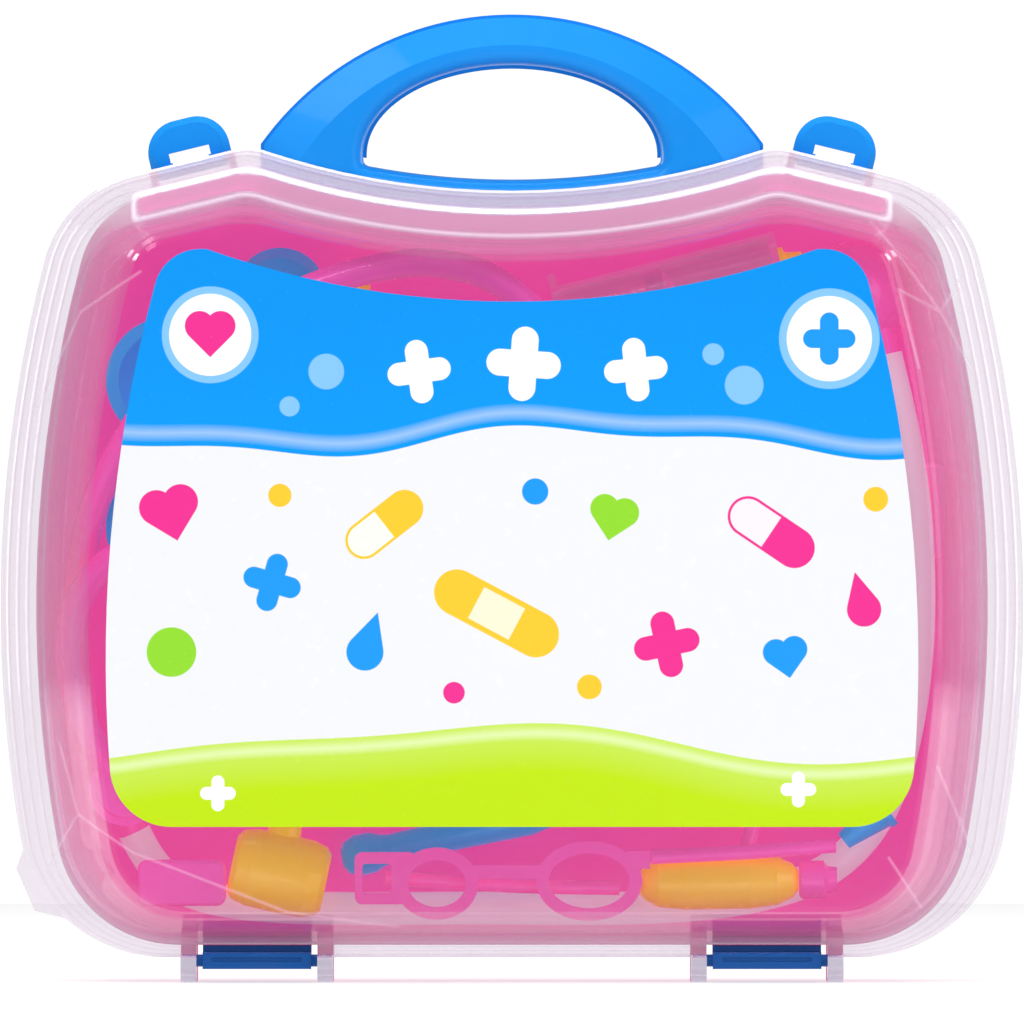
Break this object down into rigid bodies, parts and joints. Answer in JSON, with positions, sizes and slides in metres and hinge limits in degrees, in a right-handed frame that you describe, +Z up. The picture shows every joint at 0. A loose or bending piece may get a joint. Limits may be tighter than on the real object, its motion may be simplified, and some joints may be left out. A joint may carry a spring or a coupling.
{
  "type": "toy doctor case",
  "caption": "Toy carrying case with a clear hinged lid on a pink tub, an arched handle, snap latches and play medical tools inside.",
  "frame": {"origin": "centre of the footprint at table level, with the case standing on its hinge lugs and feet", "axes": "+Z up towards the handle, +X along the case to the right, +Y to the back; the clear lid faces -Y"},
  "size_m": [0.2658, 0.0724, 0.2517],
  "materials": {
    "clear_plastic": "clear, glossy",
    "pink_plastic": "glossy, faintly translucent",
    "blue_plastic": "glossy",
    "yellow_plastic": "glossy",
    "green_plastic": "glossy",
    "white_hose": "soft, milky",
    "white_plastic": "satin",
    "label_paper": "printed sheet, glossy"
  },
  "bodies": {
    "base": {"chest_diaphragm": "white_plastic", "chest_piece": "pink_plastic", "ear_tip_left": "white_hose", "ear_tip_right": "white_hose", "glasses_frame": "pink_plastic", "glasses_temple_left": "pink_plastic", "glasses_temple_right": "pink_plastic", "hammer_handle": "yellow_plastic", "hammer_head": "yellow_plastic", "handle_front": "blue_plastic", "handle_rear": "blue_plastic", "hinge_block_left": "blue_plastic", "hinge_block_right": "blue_plastic", "kidney_dish": "blue_plastic", "otoscope_cone": "blue_plastic", "otoscope_handle": "blue_plastic", "otoscope_head": "blue_plastic", "pill_box": "pink_plastic", "pill_box_lid": "pink_plastic", "pressure_bulb": "yellow_plastic", "pressure_cuff": "pink_plastic", "pressure_gauge": "yellow_plastic", "pressure_stem": "pink_plastic", "pressure_valve": "pink_plastic", "rear_shell": "pink_plastic", "scissors_blade_left": "green_plastic", "stethoscope_arm_left": "pink_plastic", "stethoscope_arm_right": "pink_plastic", "stethoscope_hose": "white_hose", "stethoscope_yoke": "pink_plastic", "syringe_barrel": "clear_plastic", "syringe_nozzle": "yellow_plastic", "thermometer": "blue_plastic", "tongue_depressor": "green_plastic"},
    "lid": {"front_shell": "clear_plastic", "label_sheet": "label_paper", "catch_left": "clear_plastic", "catch_right": "clear_plastic"},
    "latch_left": {"latch_left": "blue_plastic"},
    "latch_right": {"latch_right": "blue_plastic"},
    "plunger": {"syringe_plunger": "pink_plastic"},
    "scissors_blade": {"scissors_blade_right": "green_plastic"}
  },
  "joints": [
    {"name": "lid_hinge", "type": "hinge", "parent": "base", "child": "lid", "pos_m": [0, -0.00585, 0.0057], "axis": [1, 0, 0], "range_deg": [0, 175]},
    {"name": "latch_left_hinge", "type": "hinge", "parent": "base", "child": "latch_left", "pos_m": [-0.08295, 0.00035, 0.2118], "axis": [0.9715, 0, 0.2368], "range_deg": [0, 90]},
    {"name": "latch_right_hinge", "type": "hinge", "parent": "base", "child": "latch_right", "pos_m": [0.08295, 0.00035, 0.2118], "axis": [0.9715, 0, -0.2368], "range_deg": [0, 90]},
    {"name": "plunger_slide", "type": "slide", "parent": "base", "child": "plunger", "axis": [0.9694, 0, 0.2453], "range_m": [-0.012, 0.011]},
    {"name": "scissors_hinge", "type": "hinge", "parent": "base", "child": "scissors_blade", "pos_m": [0.028, 0.03, 0.112], "axis": [0, -1, 0], "range_deg": [-14, 30]}
  ]
}
